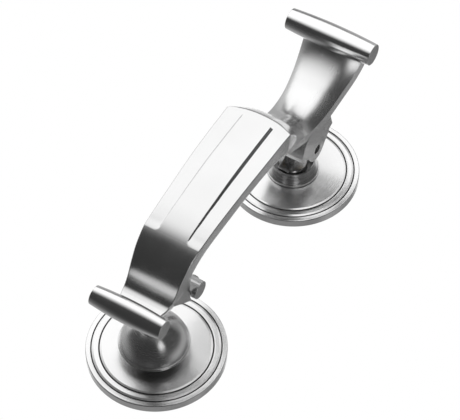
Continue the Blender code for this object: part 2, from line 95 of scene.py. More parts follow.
# The panel's upper end from front to back: (rise at the sides, out, how much higher its middle stands)
PANEL_TOP = [
    (92.0, 76.2, 3.6), (94.3, 72.8, 5.0), (96.6, 69.5, 6.0), (98.2, 66.8, 6.4), (98.6, 64.6, 6.2),
    (97.6, 62.7, 5.6), (95.0, 61.9, 4.5), (92.0, 62.6, 3.6),
]
PANEL_TOP_LOWEST = 91.8
ARCH = PANEL_TOP[0][2]
ARCH_START = 78.0
ARCH_RUN = 14.0
ARCH_POWER = 2.3

NECK_FRONT = [
    (84.0, 70.0, 11.9), (95.0, 66.6, 12.0), (103.0, 60.5, 12.0), (110.5, 52.6, 12.0), (118.5, 46.4, 12.0),
    (127.5, 44.3, 12.2), (137.5, 44.9, 12.8), (147.0, 48.6, 13.8), (155.5, 53.5, 15.2), (161.8, 59.0, 16.2),
    (164.6, 64.0, 16.4), (164.6, 69.0, 16.2),
]
NECK_BACK = [
    (84.0, 65.0, 11.6), (90.0, 59.0, 11.7), (97.0, 52.4, 11.7), (106.0, 46.9, 11.7), (116.0, 42.2, 11.7),
    (127.5, 38.4, 11.9), (139.0, 38.4, 12.4), (150.0, 41.8, 13.3), (160.5, 47.4, 14.8), (167.6, 54.4, 15.9),
    (170.0, 62.0, 16.2), (168.2, 69.4, 16.0),
]
CROWN = 4.6

HEEL = [
    (-2.0, 48.5), (4.8, 42.4), (12.6, 35.8), (11.5, 40.0), (11.1, 45.0), (11.3, 51.0), (13.6, 56.4),
    (14.0, 61.0), (7.0, 60.0), (2.0, 53.0),
]
CHEEK_FRONT = [(119.4, 42.0), (116.6, 39.2), (115.0, 35.6), (114.4, 31.6), (115.0, 27.4)]
CHEEK_TIP = [(119.0, 26.2), (121.4, 23.2)]
CHEEK_BACK = [(136.4, 22.8), (139.2, 26.0), (140.6, 28.6), (143.6, 29.8), (141.2, 38.1), (137.5, 41.4)]
CHEEK_SLOT = [(121.5, 5.0), (121.5, 30.0), (124.0, 32.6), (150.0, 32.6), (150.0, 5.0)]
CHEEK_ROUND_R = 7.0

DOOR_AXIS = Matrix.Rotation(math.radians(90), 4, "X")     # local Z points out of the door
CROSS_AXIS = Matrix.Rotation(math.radians(90), 4, "Y")    # local Z points along +X


def spot(x, rise, out):
    return Vector((x, -out, rise - CENTRES)) * MM


def on_door(rise):
    return Matrix.Translation(spot(0, rise, 0)) @ DOOR_AXIS


def across(rise, out):
    return Matrix.Translation(spot(0, rise, out)) @ CROSS_AXIS


def clamp(value):
    return min(max(value, 0.0), 1.0)


def mix(a, b, share):
    return a + (b - a) * share


def between(start, end, share):
    """Point part of the way from one row of a table to another."""
    return tuple(mix(a, b, share) for a, b in zip(start, end))


# ---------------------------------------------------------------- materials

def node_material(name):
    mat = bpy.data.materials.new(name)
    mat.use_nodes = True
    nodes, links = mat.node_tree.nodes, mat.node_tree.links
    return mat, nodes, links, nodes["Principled BSDF"]


def math_node(tree, operation, first, second=None):
    """Output of a math node. Each operand is a number or another node's output."""
    node = tree.nodes.new("ShaderNodeMath")
    node.operation = operation
    for socket, value in zip(node.inputs, (first, second)):
        if isinstance(value, (int, float)):
            socket.default_value = value
        elif value is not None:
            tree.links.new(value, socket)
    return node.outputs[0]


def smooth_ramp(tree, value, start, end):
    """Output that eases from 0 where the value is start to 1 where it is end."""
    node = tree.nodes.new("ShaderNodeMapRange")
    node.interpolation_type = "SMOOTHSTEP"
    node.inputs["From Min"].default_value = start
    node.inputs["From Max"].default_value = end
    tree.links.new(value, node.inputs["Value"])
    return node.outputs["Result"]


LATHE_ARC = 0.004       # length of grain, in metres, for each radian of turn


def turned_place(tree, place, centre):
    """The place as (radius, height, arc) about the axis along Y through the centre."""
    moved = tree.nodes.new("ShaderNodeMapping")
    moved.inputs["Location"].default_value = -centre
    tree.links.new(place, moved.inputs["Vector"])
    split = tree.nodes.new("ShaderNodeSeparateXYZ")
    tree.links.new(moved.outputs["Vector"], split.inputs["Vector"])
    x, y, z = split.outputs["X"], split.outputs["Y"], split.outputs["Z"]
    squares = [math_node(tree, "MULTIPLY", side, side) for side in (x, z)]
    radius = math_node(tree, "SQRT", math_node(tree, "ADD", *squares))
    arc = math_node(tree, "MULTIPLY", math_node(tree, "ARCTAN2", x, z), LATHE_ARC)
    joined = tree.nodes.new("ShaderNodeCombineXYZ")
    for output, axis in ((radius, "X"), (y, "Y"), (arc, "Z")):
        tree.links.new(output, joined.inputs[axis])
    return joined.outputs["Vector"]


EVEN = (1.0, 1.0, 1.0)
ARM_GRAIN = (1.0, 0.16, 0.08)
BAR_GRAIN = (0.08, 1.0, 1.0)
TURNED_GRAIN = (1.0, 1.0, 0.05)
RELIEF = 0.00002        # depth of the grain, in metres


def metal(name, colour, roughness, grain_scale, grain_stretch, bump, tone=0.05, spread=0.05,
          turned_about=None, lathe_blur=0.75):
    """Plated or bare metal: fine grain drawn out along one direction, faint cloudy tone and handling
    marks. turned_about makes the grain run in circles about an axis through that point, as a lathe
    leaves it."""
    mat, nodes, links, shader = node_material(name)
    shader.inputs["Metallic"].default_value = 1.0
    place = nodes.new("ShaderNodeTexCoord")
    source = place.outputs["Object"]
    if turned_about is not None:
        source = turned_place(mat.node_tree, source, turned_about)
        shader.inputs["Anisotropic"].default_value = lathe_blur
        shader.inputs["Anisotropic Rotation"].default_value = 0.25
        around = nodes.new("ShaderNodeTangent")
        around.direction_type = "RADIAL"
        around.axis = "Y"
        links.new(around.outputs["Tangent"], shader.inputs["Tangent"])
    stretch = nodes.new("ShaderNodeMapping")
    stretch.inputs["Scale"].default_value = grain_stretch
    links.new(source, stretch.inputs["Vector"])
    grain = nodes.new("ShaderNodeTexNoise")
    grain.inputs["Scale"].default_value = grain_scale
    grain.inputs["Detail"].default_value = 3.0
    links.new(stretch.outputs["Vector"], grain.inputs["Vector"])
    cloud = nodes.new("ShaderNodeTexNoise")
    cloud.inputs["Scale"].default_value = 60.0
    cloud.inputs["Detail"].default_value = 4.0
    links.new(place.outputs["Object"], cloud.inputs["Vector"])

    tint = nodes.new("ShaderNodeMix")
    tint.data_type = "RGBA"
    tint.inputs["A"].default_value = (*[c * (1 - tone) for c in colour], 1)
    tint.inputs["B"].default_value = (*[min(1.0, c * (1 + tone)) for c in colour], 1)
    links.new(cloud.outputs["Fac"], tint.inputs["Factor"])
    links.new(tint.outputs["Result"], shader.inputs["Base Color"])

    both = math_node(mat.node_tree, "ADD", grain.outputs["Fac"], cloud.outputs["Fac"])
    rough = nodes.new("ShaderNodeMapRange")
    rough.inputs["From Min"].default_value = 0.6
    rough.inputs["From Max"].default_value = 1.4
    rough.inputs["To Min"].default_value = roughness - spread
    rough.inputs["To Max"].default_value = roughness + spread
    links.new(both, rough.inputs["Value"])
    links.new(rough.outputs["Result"], shader.inputs["Roughness"])

    relief = nodes.new("ShaderNodeBump")
    relief.inputs["Strength"].default_value = bump
    relief.inputs["Distance"].default_value = RELIEF
    links.new(grain.outputs["Fac"], relief.inputs["Height"])
    links.new(relief.outputs["Normal"], shader.inputs["Normal"])
    return mat


CHROME = (0.85, 0.85, 0.85)
along_arm = metal("satin_chrome_arm", CHROME, 0.24, 3000.0, ARM_GRAIN, 0.25)
# same chrome as the arm's casting, painted darker on the panel as painted shade
shaded_panel_chrome = metal("satin_chrome_panel_shaded", (0.78, 0.78, 0.78), 0.22, 3000.0, ARM_GRAIN, 0.25)
along_bar = metal("satin_chrome_bar", CHROME, 0.19, 3000.0, BAR_GRAIN, 0.2)
upper_turned = metal("satin_chrome_upper", CHROME, 0.24, 5000.0, TURNED_GRAIN, 0.2,
                     turned_about=spot(0, CENTRES, 0))
lower_turned = metal("satin_chrome_lower", CHROME, 0.24, 5000.0, TURNED_GRAIN, 0.2,
                     turned_about=spot(0, 0, 0))
cup_turned = metal("satin_chrome_cup", (0.74, 0.74, 0.74), 0.27, 5000.0, TURNED_GRAIN, 0.2,
                   turned_about=spot(0, CENTRES, 0), lathe_blur=0.25)
hammer_turned = metal("satin_chrome_hammer", (0.8, 0.8, 0.8), 0.25, 4000.0, TURNED_GRAIN, 0.1,
                      turned_about=spot(0, HAMMER_RISE, 0), lathe_blur=0.8)
zinc = metal("zinc_plate", (0.55, 0.55, 0.54), 0.36, 1500.0, EVEN, 0.35, tone=0.12, spread=0.08)
# near black: painted shade for the pin sunk in its bore
blacked = metal("blacked_steel", (0.06, 0.06, 0.06), 0.45, 1500.0, EVEN, 0.35, tone=0.2, spread=0.08)
# dark grey with higher roughness: painted shade on the inside of the hinge cup
cup_inside_shade = metal("cup_inside_painted_shade", (0.26, 0.26, 0.26), 0.4, 1500.0, EVEN, 0.4, tone=0.2, spread=0.08)
# near black: painted shade on the floors and walls of the roses' turned grooves
groove_shade = metal("groove_painted_shade", (0.07, 0.07, 0.07), 0.5, 1500.0, EVEN, 0.35, tone=0.2, spread=0.08)
brass = metal("turned_brass", (0.72, 0.55, 0.28), 0.34, 1800.0, EVEN, 0.3, tone=0.12, spread=0.08)


# ---------------------------------------------------------------- mesh helpers

def add_piece(name, bm, mat, body, nodes, sharp=35.0):
    bmesh.ops.remove_doubles(bm, verts=bm.verts, dist=1e-7)
    bmesh.ops.recalc_face_normals(bm, faces=bm.faces)
    mesh = bpy.data.meshes.new(name)
    bm.to_mesh(mesh)
    bm.free()
    mesh.materials.append(mat)
    mesh.shade_smooth()
    mesh.set_sharp_from_angle(angle=math.radians(sharp))
    piece = bpy.data.objects.new(name, mesh)
    bpy.context.scene.collection.objects.link(piece)
    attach(piece, body)
    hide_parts(*nodes)
    return piece


def eased(points, radius, steps=4, closed=True):
    """The outline with each corner rounded; a point may carry its own radius as a third number. A
    point beside each rounded corner keeps the shading of the straight runs flat."""
    out = []
    count = len(points)
    for i, point in enumerate(points):
        here = Vector(point[:2])
        if not closed and i in (0, count - 1):
            out.append(here)
            continue
        before = Vector(points[i - 1][:2]) - here
        after = Vector(points[(i + 1) % count][:2]) - here
        r = point[2] if len(point) > 2 else radius
        angle = before.angle(after)
        if r <= 0 or angle > math.radians(172):
            out.append(here)
            continue
        reach = min(r / math.tan(angle / 2), 0.42 * before.length, 0.42 * after.length)
        start, end = here + before.normalized() * reach, here + after.normalized() * reach
        out.append(start + before.normalized() * reach * 0.15)
        for k in range(steps + 1):
            t = k / steps
            out.append(start * (1 - t) ** 2 + here * 2 * t * (1 - t) + end * t * t)
        out.append(end + after.normalized() * reach * 0.15)
    return [(p.x, p.y) for p in out]


def lathe(bm, outline, place, segments=128):
    """Turns a closed outline of (radius, height) about local Z; points at radius 0 lie on the axis."""
    rings = []
    for radius, height in outline:
        if radius < 1e-6:
            rings.append([bm.verts.new(place @ Vector((0, 0, height * MM)))])
            continue
        ring = []
        for i in range(segments):
            angle = 2 * math.pi * i / segments
            point = Vector((radius * math.cos(angle), radius * math.sin(angle), height)) * MM
            ring.append(bm.verts.new(place @ point))
        rings.append(ring)
    for lower, upper in zip(rings, rings[1:] + rings[:1]):
        if len(lower) == 1 and len(upper) == 1:
            continue
        for i in range(segments):
            j = (i + 1) % segments
            corners = [(lower, i), (lower, j), (upper, j), (upper, i)]
            face = list(dict.fromkeys(ring[k % len(ring)] for ring, k in corners))
            if len(face) > 2:
                bm.faces.new(face)


def catmull_rom(a, b, c, d, t):
    """Value part of the way from b to c, on a curve that also passes a and d."""
    square = 2 * a - 5 * b + 4 * c - d
    cube = 3 * b - a - 3 * c + d
    return 0.5 * (2 * b + (c - a) * t + square * t * t + cube * t ** 3)


def smooth_line(points, steps):
    """Catmull-Rom curve through the points, with a number of steps between each pair."""
    padded = [[2 * a - b for a, b in zip(points[0], points[1])], *points]
    padded.append([2 * a - b for a, b in zip(points[-1], points[-2])])
    line = []
    for four in zip(padded, padded[1:], padded[2:], padded[3:]):
        for step in range(steps):
            line.append(tuple(catmull_rom(*values, step / steps) for values in zip(*four)))
    return [*line, tuple(points[-1])]


def at_rise(line, rise):
    """The point of a line at this rise, between its neighbours."""
    for before, after in zip(line, line[1:]):
        if before[0] <= rise <= after[0]:
            return between(before, after, (rise - before[0]) / max(after[0] - before[0], 1e-9))
    return line[-1]


def skin(bm, sections, close_ends=True):
    """Joins closed loops of points, one after another, with faces."""
    loops = [[bm.verts.new(point) for point in section] for section in sections]
    count = len(loops[0])
    for lower, upper in zip(loops, loops[1:]):
        for i in range(count):
            j = (i + 1) % count
            bm.faces.new([lower[i], lower[j], upper[j], upper[i]])
    if close_ends:
        for loop in (loops[0], loops[-1]):
            bm.faces.new(loop)
    return loops


def prism(bm, outline, low, high, ease=0.25):
    """Solid between x = low and x = high whose side view is the outline, with its long edges eased."""
    points = [Vector(p) for p in outline]
    count = len(points)
    area = sum(a.x * b.y - b.x * a.y for a, b in zip(points, points[1:] + points[:1]))
    side = 1 if area > 0 else -1
    inset = []
    for i, here in enumerate(points):
        a = (here - points[i - 1]).normalized()
        b = (points[(i + 1) % count] - here).normalized()
        normal = (Vector((-a.y, a.x)) + Vector((-b.y, b.x))) * side
        inset.append(here + normal.normalized() * ease)
    slope = [p.lerp(q, 0.3) for p, q in zip(inset, points)]
    rings = [(low, inset), (low + 0.3 * ease, slope), (low + ease, points),
             (high - ease, points), (high - 0.3 * ease, slope), (high, inset)]
    skin(bm, [[spot(x, p.x, p.y) for p in ring] for x, ring in rings])


# ---------------------------------------------------------------- roses and hinge post

def rose_outline():
    """Low disc: raised deck, then two rings with beveled edges, each behind a turned groove."""
    deck, ring, rim = ROSE_DECK, 4.95, ROSE_RIM
    return [
        (30.3, 0.0, 0.2), (ROSE_R - 0.25, 0.0, 0.2), (ROSE_R, 0.3, 0.1), (ROSE_R, rim, 0.45),
        (32.1, rim, 0.2), (31.15, rim + 0.1, 0.08), (31.1, rim - 0.7, 0.05), (30.6, rim - 0.7, 0.05),
        (30.55, ring - 0.2, 0.1), (29.6, ring + 0.1, 0.1), (28.0, ring + 0.1, 0.3), (27.35, ring, 0.1),
        (27.3, ring - 0.9, 0.05), (26.75, ring - 0.9, 0.05), (26.7, deck - 0.25, 0.1), (25.8, deck, 0.15),
        (18.0, deck, 0), (11.0, deck, 0), (4.3, deck, 0.2), (4.3, 2.4, 0.2), (29.5, 2.4, 0.3),
        (30.3, 1.6, 0.3),
    ]


GROOVES_INNER, GROOVES_OUTER = 26.6, 31.3       # radii that hold both grooves
GROOVES_LOW, GROOVES_HIGH = 3.0, 4.35           # how far out their floors and walls lie


def add_rose(prefix, rise, mat):
    bm = bmesh.new()
    lathe(bm, eased(rose_outline(), 0.2), on_door(rise), 160)
    for face in bm.faces:
        # faces on the grooves' floors and walls take the second material, a near-black painted shade
        middle = face.calc_center_median() / MM
        radius = math.hypot(middle.x, middle.z + CENTRES - rise)
        if GROOVES_INNER < radius < GROOVES_OUTER and GROOVES_LOW < -middle.y < GROOVES_HIGH:
            face.material_index = 1
    plate = add_piece(f"{prefix}_rose_plate", bm, mat, "fixed", [f"{prefix}_rose"],
                      50)
    plate.data.materials.append(groove_shade)


CUP_INSIDE_R = 10.45
CUP_FLOOR_OUT = 7.3


def add_post():
    """Tapering cup with a bead at its foot and a rolled rim."""
    base = ROSE_DECK + 0.3
    points = [
        (4.3, base, 0.1), (13.2, base, 0.15), (13.2, base + 0.55, 0.3), (12.75, base + 0.6, 0.05),
        (12.6, base + 0.75, 0.1), (11.0, 11.9, 0.2), (11.2, 12.2, 0.1), (11.2, 12.6, 0.2),
        (10.95, 12.8, 0.1), (10.55, 12.8, 0.1), (10.4, 12.6, 0.1), (10.4, 8.1, 0.5), (9.8, 7.5, 0.3),
        (4.3, 7.5, 0.1),
    ]
    bm = bmesh.new()
    lathe(bm, eased(points, 0.2), on_door(CENTRES), 128)
    # faces inside the cup take the second material, a darker painted shade
    for face in bm.faces:
        middle = face.calc_center_median() / MM
        if math.hypot(middle.x, middle.z) < CUP_INSIDE_R and -middle.y > CUP_FLOOR_OUT:
            face.material_index = 1
    cup = add_piece("cup_post", bm, cup_turned, "fixed", ["hinge_post"], 50)
    cup.data.materials.append(cup_inside_shade)


def add_tongue():
    """Round foot on a tail, and a flat blade that ends in the pin's eye."""
    bm = bmesh.new()
    shoulder = 7.8
    outline = [
        *TAIL, (4.0, shoulder, 0.1), (7.5, shoulder, 0.2), (7.5, 10.2, 0.1), (6.9, 10.8, 0.1),
        (0.0, 10.8),
    ]
    lathe(bm, eased(outline, 0.1, closed=False), on_door(CENTRES), 64)
    low, high, top = TONGUE_FOOT
    root = 9.4
    blade = [(122.6, top + 1.2), (121.4, top), (low + 0.4, top), (low, top - 0.4), (low, root),
             (high, root), (high, top - 0.4), (high - 0.4, top), (134.4, top + 1.2)]
    for degrees in range(-24, 205, 6):
        angle = math.radians(degrees)
        blade.append((PIN_RISE + EYE_R * math.cos(angle), PIN_OUT + EYE_R * math.sin(angle)))
    prism(bm, blade, -TONGUE_HALF, TONGUE_HALF, 0.3)
    add_piece("tongue_eye", bm, cup_turned, "fixed", ["hinge_tongue"], 40)


# ---------------------------------------------------------------- hammer

def add_strike_plate():
    """Flat-headed stud that the hammer rests on."""
    seat, top = ROSE_DECK + 0.3, HAMMER_FACE_OUT - 0.3
    outline = [
        *TAIL, (4.0, seat, 0.1), (8.0, seat, 0.2), (8.0, top - 0.8, 0.3), (7.2, top, 0.3), (0.0, top),
    ]
    bm = bmesh.new()
    lathe(bm, eased(outline, 0.1, closed=False), on_door(0), 96)
    add_piece("strike_stud", bm, lower_turned, "fixed", ["strike_plate"], 40)


def add_hammer():
    """Dome with a lip round its face and a groove above the lip, on a flared stem."""
    face, centre, bolt_r = HAMMER_FACE_OUT, HAMMER_CENTRE_OUT, 3.3
    band, lip_r, groove_r, seat_r = face + 2.1, HAMMER_R + HAMMER_LIP, HAMMER_R - 0.75, 7.2
    outline = [
        (bolt_r, face + 3.4, 0.1), (6.8, face + 3.4, 0.2), (6.8, face, 0.3), (HAMMER_R - 0.1, face, 0.25),
        (lip_r, face + 0.5, 0.3), (lip_r, band - 0.5, 0.3), (groove_r, band - 0.1, 0.08),
        (groove_r, band + 0.2, 0.08),
    ]
    start = math.asin((band + 0.45 - centre) / HAMMER_R)
    end = math.acos(seat_r / HAMMER_R)
    for i in range(41):
        angle = mix(start, end, i / 40)
        outline.append((HAMMER_R * math.cos(angle), centre + HAMMER_R * math.sin(angle), 0))
    seat = centre + HAMMER_R * math.sin(end)
    outline.append((bolt_r, seat, 0.1))
    bm = bmesh.new()
    lathe(bm, eased(outline, 0.1), on_door(HAMMER_RISE), 160)
    add_piece("hammer_dome", bm, hammer_turned, "arm", ["hammer_head"], 50)

    seat += 0.05
    stem = [(bolt_r, seat, 0.1), (seat_r, seat, 0.05)]
    for degrees in range(0, 91, 10):
        angle = math.radians(degrees)
        flare = mix(seat_r, STEM_R, math.sin(angle))
        stem.append((flare, seat + 0.2 + 1.4 * (1 - math.cos(angle)), 0))
    stem += [(STEM_R, STEM_END, 0.2), (bolt_r, STEM_END, 0.1)]
    bm = bmesh.new()
    lathe(bm, eased(stem, 0.1), on_door(HAMMER_RISE), 96)
    add_piece("hammer_shank", bm, hammer_turned, "arm", ["hammer_stem"], 50)


# ---------------------------------------------------------------- cross-bars

def add_bar(name, bar):
    """Cross-bar with flat ends, a little thicker in the middle."""
    (rise, out), half, end_r, middle_r = bar
    rim = end_r - 0.02
    points = [(0.0, -half), (rim, -half, 0.3)]
    for i in range(-11, 12):
        share = i / 12
        points.append((end_r + (middle_r - end_r) * (1 - share ** 2), share * (half - 0.02), 0))
    points += [(rim, half, 0.3), (0.0, half)]
    bm = bmesh.new()
    lathe(bm, eased(points, 0.3, closed=False), across(rise, out), 128)
    add_piece(f"{name}_rod", bm, along_bar, "arm", [name], 50)


# ---------------------------------------------------------------- arm

def strip_depth(x, rise):
    """Depth of the surface below the raised middle's level. The two side strips are sunk, deeper
    towards the upper end, each with a rounded run-out at its lower end, and above the raised middle
    the whole width is at their level."""
    growth = 0.45 + 0.55 * clamp((rise - STRIP_START) / 50.0)
    wide = clamp((abs(x) - RAISED_HALF) / (RAISED_SLOPE * growth))
    wide = wide ** 3 * (wide * (6 * wide - 15) + 10)
    if rise > RAISED_END:
        wide = max(wide, clamp((rise - RAISED_END) / RAISED_END_RUN))
    corner = clamp((abs(x) - RAISED_HALF) / 3.2)
    end = clamp((rise - STRIP_START) / 5.0)
    if rise < STRIP_START + 6.0:
        end = clamp(end - 0.3 * (1 - corner) ** 2)
    return STRIP_DEPTH * growth * wide * math.sin(end * math.pi / 2)


def panel_columns(width, edge_r):
    """x of each column of points across the front, from the left edge to the right."""
    inner = [0.0, 1.8, 3.6, 5.2, 6.4, 6.9, 7.1]
    down_slope = (0.0, 0.08, 0.18, 0.3, 0.42, 0.54, 0.66, 0.8, 1.0)
    inner += [RAISED_HALF + RAISED_SLOPE * share for share in down_slope]
    edge = width - edge_r
    outer = [mix(inner[-1], edge, share) for share in (0.1, 0.35, 0.6, 0.85, 0.97, 1.0)]
    outer += [width - edge_r * (1 - math.sin(math.radians(a))) for a in (18, 36, 54, 72, 90)]
    half = inner + outer
    return [-x for x in half[:0:-1]] + half


def bulge(x, full, power=ARCH_POWER):
    """How much higher than its sides the panel's end stands at x."""
    return full * (1 - min(abs(x) / PANEL_HALF, 1.0) ** power)


def edge_drop(x, width, edge_r):
    """How far the rounded long edge falls away at x."""
    over = clamp((abs(x) - width + edge_r) / edge_r)
    return edge_r * (1 - math.sqrt(max(0.0, 1 - over * over)))


def panel_sections():
    """Pairs of front and back points, with extra ones where the sunk strips start and the middle ends."""
    front = smooth_line(PANEL_FRONT, 10)
    back = smooth_line(PANEL_BACK, 10)
    stations = list(zip(front, back))
    extra = []
    for rise in [STRIP_START, STRIP_START + 0.6]:
        extra.append((at_rise(front, rise), [far for near, far in stations if near[0] <= rise][-1]))
    for step in (-0.12, 0.0, 0.15, 0.45, RAISED_END_RUN, 0.72):
        rise = RAISED_END + step
        extra.append((at_rise(front, rise), at_rise(back, rise)))
    return sorted([*stations, *extra], key=lambda pair: (pair[0][0], pair[0][1]))


def panel_side(start, stop, width, far_width, steps):
    """Points down the side wall from the front edge's rounding to the back edge's, each as
    (half width, rise, out)."""
    inward = (stop - start).normalized()
    foot = stop - inward * BACK_EDGE_R
    points = []
    for k in range(1, steps + 1):
        share = k / steps
        here = start.lerp(foot, share)
        points.append((mix(width, far_width, share), here.x, here.y))
    for degrees in (22.5, 45, 67.5):
        angle = math.radians(degrees)
        here = foot + inward * BACK_EDGE_R * math.sin(angle)
        points.append((far_width - BACK_EDGE_R * (1 - math.cos(angle)), here.x, here.y))
    return points


def add_panel():
    """The arm's grip and the strap below it, with a domed upper end."""
    bm = bmesh.new()
    stations = panel_sections()
    sections = []
    for i, (near, far) in enumerate(stations):
        before, after = stations[max(i - 1, 0)][0], stations[min(i + 1, len(stations) - 1)][0]
        along = Vector((after[0] - before[0], after[1] - before[1])).normalized()
        inward = Vector((along.y, -along.x))
        width, far_width = near[2], far[2]
        rate = clamp((near[0] - ARCH_START) / ARCH_RUN)
        reach = ARCH * rate ** 2 * (3 - 2 * rate)
        loop = []
        xs = panel_columns(width, FRONT_EDGE_R)
        for x in xs:
            drop = strip_depth(x, near[0]) + edge_drop(x, width, FRONT_EDGE_R)
            arch = bulge(x, reach)
            loop.append(spot(x, near[0] + inward.x * drop + arch, near[1] + inward.y * drop))
        edge = strip_depth(width, near[0]) + FRONT_EDGE_R
        start = Vector((near[0] + inward.x * edge, near[1] + inward.y * edge))
        stop = Vector((far[0], far[1]))
        side = panel_side(start, stop, width, far_width, 8)
        loop += [spot(x, rise, out) for x, rise, out in side]
        back_half = far_width - BACK_EDGE_R
        back_xs = [x / xs[-1] * back_half for x in reversed(xs)]
        for x in back_xs:
            loop.append(spot(x, far[0] + bulge(x, reach), far[1]))
        loop += [spot(-x, rise, out) for x, rise, out in reversed(side)]
        sections.append(loop)
    loops = skin(bm, sections, close_ends=False)
    bm.faces.new(loops[0])

    # The upper end: rows of points over the top from the front's crisp edge to the back, each fuller in
    # its middle
    last = loops[-1]
    columns, count = len(xs), len(side)
    front_row = last[:columns]
    right = last[columns:columns + count]
    back_row = last[columns + count:2 * columns + count][::-1]
    left = last[2 * columns + count:][::-1]
    rows = [front_row]
    line = smooth_line(PANEL_TOP, 4)
    for k, (rise, out, full) in enumerate(line[1:-1], start=1):
        share = k / (len(line) - 1)
        round_r = FRONT_EDGE_R + 0.8 * math.sin(math.pi * share)
        power = ARCH_POWER + 1.2 * math.sin(math.pi * share)
        row = []
        for near, far in zip(front_row, back_row):
            x = mix(near.co.x, far.co.x, share) / MM
            drop = min(edge_drop(x, PANEL_HALF, round_r), rise - PANEL_TOP_LOWEST)
            row.append(bm.verts.new(spot(x, rise + bulge(x, full, power) - drop, out)))
        rows.append(row)
    rows.append(back_row)
    for lower, upper in zip(rows, rows[1:]):
        for c in range(columns - 1):
            bm.faces.new([lower[c], lower[c + 1], upper[c + 1], upper[c]])
    bm.faces.new([*[row[-1] for row in rows], *reversed(right)])
    bm.faces.new([*[row[0] for row in rows], *reversed(left)])
    add_piece("arm_panel", bm, shaded_panel_chrome, "arm", ["arm_casting"], 30)


def add_neck():
    """The arm's concave sweep from the panel to the top bar, crowned across its width."""
    front = smooth_line(NECK_FRONT, 10)
    back = smooth_line(NECK_BACK, 10)
    shares = [math.sin(math.radians(a)) for a in range(-90, 91, 6)]
    bm = bmesh.new()
    sections = []
    for i, (near, far) in enumerate(zip(front, back)):
        before, after = front[max(i - 1, 0)], front[min(i + 1, len(front) - 1)]
        along = Vector((after[0] - before[0], after[1] - before[1])).normalized()
        outward = Vector((-along.y, along.x))
        loop = []
        for share in shares:
            lift = CROWN * (1 - share ** 2)
            loop.append(spot(share * near[2], near[0] + outward.x * lift, near[1] + outward.y * lift))
        side = [between(near, far, k / 4) for k in (1, 2, 3)]
        loop += [spot(half, rise, out) for rise, out, half in side]
        for share in (1.0, 0.97, 0.5, 0.0, -0.5, -0.97, -1.0):
            loop.append(spot(share * far[2], far[0], far[1]))
        loop += [spot(-half, rise, out) for rise, out, half in reversed(side)]
        sections.append(loop)
    skin(bm, sections)
    add_piece("arm_neck", bm, along_arm, "arm", ["arm_casting"], 40)


def cheek_outline():
    """Side view of the cheeks that hold the pin."""
    arc = []
    for degrees in range(205, 326, 8):
        angle = math.radians(degrees)
        arc.append((PIN_RISE + CHEEK_ROUND_R * math.cos(angle), PIN_OUT + CHEEK_ROUND_R * math.sin(angle)))
    rest = [CHEEK_FRONT[-1], *CHEEK_TIP, *arc, *CHEEK_BACK, CHEEK_FRONT[0]]
    return [*smooth_line(CHEEK_FRONT, 4)[1:-1], *eased(rest, 0.4, 3, closed=False)]


def cut_away(piece, name, cutter_bm, sharp=30):
    """Takes the cutter's shape out of the piece."""
    bmesh.ops.recalc_face_normals(cutter_bm, faces=cutter_bm.faces)
    mesh = bpy.data.meshes.new(name)
    cutter_bm.to_mesh(mesh)
    cutter_bm.free()
    cutter = bpy.data.objects.new(name, mesh)
    bpy.context.scene.collection.objects.link(cutter)
    cut = piece.modifiers.new(name, "BOOLEAN")
    cut.operation = "DIFFERENCE"
    cut.solver = "EXACT"
    cut.object = cutter
    bpy.context.view_layer.update()
    graph = bpy.context.evaluated_depsgraph_get()
    finished = bpy.data.meshes.new_from_object(piece.evaluated_get(graph))
    piece.modifiers.clear()
    piece.data = finished
    finished.set_sharp_from_angle(angle=math.radians(sharp))
    bpy.data.objects.remove(cutter)


def add_cheeks():
    """Two cheeks with the tongue's slot between them and a bore for the pin that widens at each mouth."""
    bm = bmesh.new()
    prism(bm, cheek_outline(), -CHEEK_OUTER, CHEEK_OUTER, 0.25)
    cheeks = add_piece("arm_cheeks", bm, along_arm, "arm", ["arm_casting"], 30)
    slot = bmesh.new()
    prism(slot, CHEEK_SLOT, -CHEEK_INNER, CHEEK_INNER, 0.0)
    cut_away(cheeks, "tongue_slot", slot)
    hole = bmesh.new()
    bore, mouth, step, beyond = PIN_R + 0.3, PIN_R + 0.8, 9.2, 20.0
    sides = [(bore, step), (mouth, step), (mouth, beyond), (0.0, beyond)]
    lathe(hole, [*[(r, -x) for r, x in reversed(sides)], *sides], across(PIN_RISE, PIN_OUT), 48)
    cut_away(cheeks, "pin_bore", hole)


def add_heel():
    """Web behind the arm's foot that holds the hammer and the rear bar."""
    bm = bmesh.new()
    prism(bm, eased(HEEL, 0.5, 3), -HEEL_HALF, HEEL_HALF, 0.25)
    add_piece("arm_heel", bm, along_arm, "arm", ["arm_casting"], 30)


add_rose("upper", CENTRES, upper_turned)
add_rose("lower", 0.0, lower_turned)
add_post()
add_tongue()
add_strike_plate()
add_hammer()
for name, bar in (("top_bar", TOP_BAR), ("lower_bar", LOWER_BAR), ("rear_bar", REAR_BAR)):
    add_bar(name, bar)
add_panel()
add_neck()
add_cheeks()
add_heel()

for name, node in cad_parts.items():
    # parts whose names hold pin get the near-black painted shade of the recessed bore
    finish = brass if "nut" in name or "side_washer" in name else blacked if "pin" in name else zinc
    for slot in node.material_slots:
        slot.material = finish


# ---------------------------------------------------------------- floor, light and camera

FLOOR_Z = -1.4
FLOOR_HALF = 6.0


def add_sheet(name, half_width, half_height):
    """Flat rectangle about its own origin, facing local Z."""
    mesh = bpy.data.meshes.new(name)
    w, h = half_width, half_height
    mesh.from_pydata([(-w, -h, 0), (w, -h, 0), (w, h, 0), (-w, h, 0)], [], [(0, 1, 2, 3)])
    sheet = bpy.data.objects.new(name, mesh)
    bpy.context.scene.collection.objects.link(sheet)
    return sheet


def add_floor():
    floor = add_sheet("studio_floor", FLOOR_HALF, FLOOR_HALF)
    floor.location = (0, 0, FLOOR_Z)
    mat, nodes, links, shader = node_material("pale_floor")
    shader.inputs["Base Color"].default_value = (0.9, 0.9, 0.9, 1)
    shader.inputs["Roughness"].default_value = 0.9
    floor.data.materials.append(mat)
    floor.visible_glossy = False


